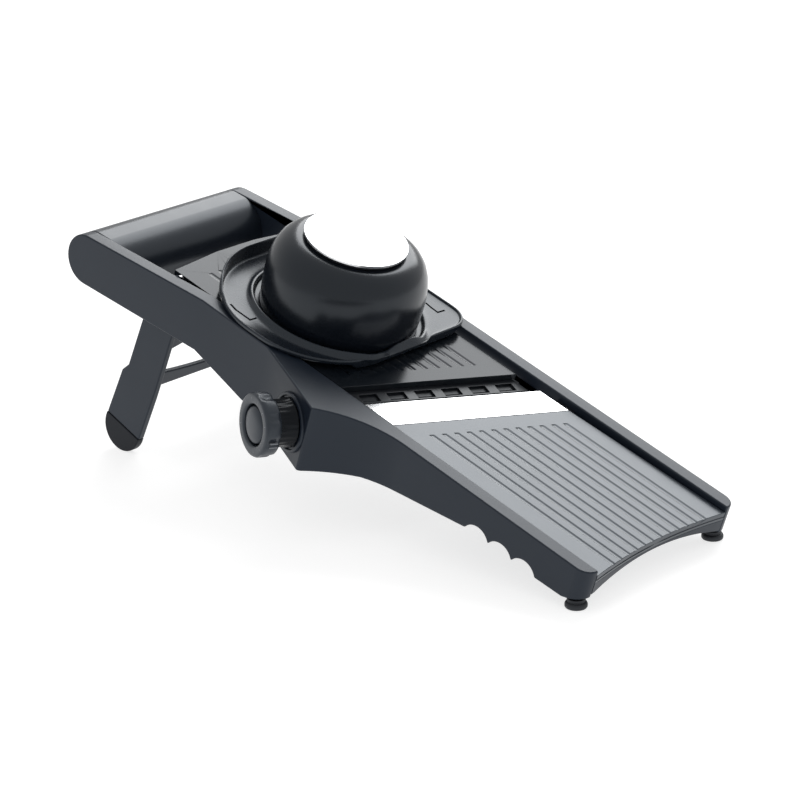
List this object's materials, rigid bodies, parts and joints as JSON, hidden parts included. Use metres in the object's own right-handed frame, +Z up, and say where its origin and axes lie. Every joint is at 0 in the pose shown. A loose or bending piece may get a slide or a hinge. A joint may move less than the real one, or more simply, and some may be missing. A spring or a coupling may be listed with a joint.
{
  "type": "mandoline slicer",
  "caption": "Sloping mandoline slicer with a slanted blade, knob-lowered infeed plate, fold-down leg, round handle and a domed food holder that slides on its rails.",
  "frame": {"origin": "middle of the bounding box at the level of the surface the slicer stands on", "axes": "+Z up, +Y from the front feet towards the handle, +X to the side away from the knob"},
  "size_m": [0.1696, 0.3794, 0.1492],
  "materials": {
    "charcoal": "satin, fine moulded texture",
    "dark": "semi-gloss",
    "grip": "soft-touch satin",
    "feet": "matt",
    "polished": "polished stainless steel",
    "steel": "turned or drawn steel"
  },
  "bodies": {
    "frame": {"left_side": "charcoal", "right_side": "charcoal", "outfeed_deck": "charcoal", "front_skirt": "charcoal", "blade": "polished", "blade_rivet": "steel", "blade_seat": "charcoal", "frame_screws": "steel", "teeth_guides": "steel", "shaft_bushing": "charcoal", "shaft_bearing": "charcoal", "leg_pins": "steel", "handle_grip": "grip", "handle_core": "steel", "front_feet": "feet"},
    "knob": {"knob": "charcoal", "cam_shaft": "steel", "cams": "dark", "shaft_clip": "steel", "button_spring": "steel"},
    "button": {"knob_button": "charcoal"},
    "plate": {"infeed_plate": "charcoal", "plate_pins": "steel", "slotted_bar": "charcoal"},
    "teeth": {"teeth_carrier": "charcoal", "julienne_teeth": "steel"},
    "leg": {"leg_frame": "charcoal", "leg_tips": "feet"},
    "holder": {"holder_tray": "charcoal", "holder_dome": "charcoal"},
    "plunger": {"disc_ring": "dark", "steel_disc": "polished", "plunger_post": "dark", "pusher_plate": "dark", "prongs": "steel", "post_screw": "steel", "plunger_spring": "steel"}
  },
  "joints": [
    {"name": "leg_fold", "type": "hinge", "parent": "frame", "child": "leg", "pos_m": [0.02033, 0.11536, 0.09559], "axis": [-1, 0, 0], "range_deg": [0, 93]},
    {"name": "knob_turn", "type": "hinge", "parent": "frame", "child": "knob", "pos_m": [-0.05819, 0.00104, 0.06099], "axis": [-0.9354, 0.3367, 0.1075], "range_deg": [0, 180]},
    {"name": "button_press", "type": "slide", "parent": "knob", "child": "button", "axis": [0.9354, -0.3367, -0.1075], "range_m": [0, 0.003], "stiffness_N_per_m": 300, "springref_m": -0.002, "deforming": ["button_spring"]},
    {"name": "plate_tilt", "type": "hinge", "parent": "frame", "child": "plate", "pos_m": [0.02033, 0.10901, 0.11219], "axis": [1, 0, 0], "range_deg": [0, 2.48]},
    {"name": "teeth_lift", "type": "slide", "parent": "frame", "child": "teeth", "axis": [0, -0.304, 0.9527], "range_m": [0, 0.007]},
    {"name": "holder_slide", "type": "slide", "parent": "frame", "child": "holder", "axis": [0, 0.9527, 0.304], "range_m": [-0.15, 0.008]},
    {"name": "plunger_lift", "type": "slide", "parent": "holder", "child": "plunger", "axis": [0, -0.304, 0.9527], "range_m": [0, 0.026], "stiffness_N_per_m": 80, "springref_m": -0.012, "deforming": ["plunger_spring"]}
  ],
  "couplings": [
    {"joint": "plate_tilt", "follows": "knob_turn", "ratio": 0.013755}
  ]
}
